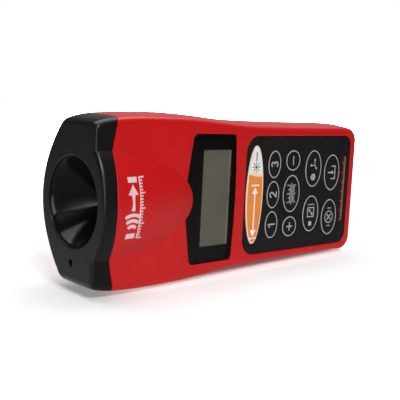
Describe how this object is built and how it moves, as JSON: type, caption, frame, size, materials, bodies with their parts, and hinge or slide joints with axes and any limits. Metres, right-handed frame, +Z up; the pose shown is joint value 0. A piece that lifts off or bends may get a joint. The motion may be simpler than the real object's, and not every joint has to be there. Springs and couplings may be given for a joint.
{
  "type": "laser distance meter",
  "caption": "Hand-held distance meter: a flared red body with a black nose and sound horn, a laser aperture, a display, an elliptical keypad and a sliding battery door",
  "frame": {"origin": "middle of the base of the bounding box, with the meter lying on its long side", "axes": "+X from the nose to the tail (the longest extent), -Y out of the face with the display and keypad (the shortest extent), +Z up across the width"},
  "size_m": [0.162, 0.0493, 0.0746],
  "materials": {
    "red_plastic": "satin moulded ABS",
    "black_plastic": "fine textured satin",
    "gloss_black": "polished",
    "rubber": "matte",
    "can_metal": "brushed",
    "mesh_metal": "perforated",
    "lead_white": "pvc insulation",
    "lead_red": "pvc insulation",
    "brass": "turned",
    "clear_lens": "clear",
    "window": "smoked clear",
    "mask_black": "printed",
    "lcd": "reflective LCD",
    "frame_plastic": "moulded",
    "zebra": "layered elastomer",
    "keypad_black": "fine grain print",
    "key_orange": "printed",
    "key_black": "fine grain print",
    "silicone": "matte",
    "board": "solder mask",
    "chip_black": "epoxy",
    "capacitor": "sleeved can",
    "transformer": "taped coil",
    "battery": null,
    "contact_metal": "plated",
    "connector": "soft vinyl",
    "foam": "open cell foam",
    "screw_steel": "zinc plated",
    "screw_black": "black oxide"
  },
  "bodies": {
    "housing": {"nose_cap": "black_plastic", "horn_cone": "gloss_black", "transducer_boot": "rubber", "ultrasonic_transducer": "can_metal", "transducer_mesh": "mesh_metal", "transducer_leads": "lead_white", "laser_module": "brass", "laser_lens": "clear_lens", "laser_leads": "lead_red", "front_shell": "red_plastic", "back_shell": "red_plastic", "display_window": "window", "window_mask": "mask_black", "lcd_glass": "lcd", "lcd_frame": "frame_plastic", "zebra_strips": "zebra", "keypad_plate": "keypad_black", "key_mat": "silicone", "main_board": "board", "microcontroller": "chip_black", "amplifier_chip": "chip_black", "quartz_crystal": "can_metal", "board_capacitors": "capacitor", "drive_transformer": "transformer", "buzzer": "chip_black", "battery_block": "battery", "battery_terminals": "contact_metal", "battery_connector": "connector", "battery_leads": "lead_red", "battery_pad": "foam", "board_screws": "screw_steel", "housing_screws": "screw_black"},
    "measure_key": {"measure_key": "key_orange"},
    "memory_1_key": {"memory_1_key": "key_black"},
    "memory_2_key": {"memory_2_key": "key_black"},
    "memory_3_key": {"memory_3_key": "key_black"},
    "plus_key": {"plus_key": "key_black"},
    "units_key": {"units_key": "key_black"},
    "minus_key": {"minus_key": "key_black"},
    "area_key": {"area_key": "key_black"},
    "volume_key": {"volume_key": "key_black"},
    "clear_key": {"clear_key": "key_black"},
    "store_key": {"store_key": "key_black"},
    "battery_door": {"battery_door": "red_plastic"}
  },
  "joints": [
    {"name": "measure_press", "type": "slide", "parent": "housing", "child": "measure_key", "axis": [0, 1, 0], "range_m": [0, 0.0004], "stiffness_N_per_m": 1500},
    {"name": "memory_1_press", "type": "slide", "parent": "housing", "child": "memory_1_key", "axis": [0, 1, 0], "range_m": [0, 0.0004], "stiffness_N_per_m": 1500},
    {"name": "memory_2_press", "type": "slide", "parent": "housing", "child": "memory_2_key", "axis": [0, 1, 0], "range_m": [0, 0.0004], "stiffness_N_per_m": 1500},
    {"name": "memory_3_press", "type": "slide", "parent": "housing", "child": "memory_3_key", "axis": [0, 1, 0], "range_m": [0, 0.0004], "stiffness_N_per_m": 1500},
    {"name": "plus_press", "type": "slide", "parent": "housing", "child": "plus_key", "axis": [0, 1, 0], "range_m": [0, 0.0004], "stiffness_N_per_m": 1500},
    {"name": "units_press", "type": "slide", "parent": "housing", "child": "units_key", "axis": [0, 1, 0], "range_m": [0, 0.0004], "stiffness_N_per_m": 1500},
    {"name": "minus_press", "type": "slide", "parent": "housing", "child": "minus_key", "axis": [0, 1, 0], "range_m": [0, 0.0004], "stiffness_N_per_m": 1500},
    {"name": "area_press", "type": "slide", "parent": "housing", "child": "area_key", "axis": [0, 1, 0], "range_m": [0, 0.0004], "stiffness_N_per_m": 1500},
    {"name": "volume_press", "type": "slide", "parent": "housing", "child": "volume_key", "axis": [0, 1, 0], "range_m": [0, 0.0004], "stiffness_N_per_m": 1500},
    {"name": "clear_press", "type": "slide", "parent": "housing", "child": "clear_key", "axis": [0, 1, 0], "range_m": [0, 0.0004], "stiffness_N_per_m": 1500},
    {"name": "store_press", "type": "slide", "parent": "housing", "child": "store_key", "axis": [0, 1, 0], "range_m": [0, 0.0004], "stiffness_N_per_m": 1500},
    {"name": "door_slide", "type": "slide", "parent": "housing", "child": "battery_door", "axis": [1, 0, 0], "range_m": [0, 0.07]}
  ]
}
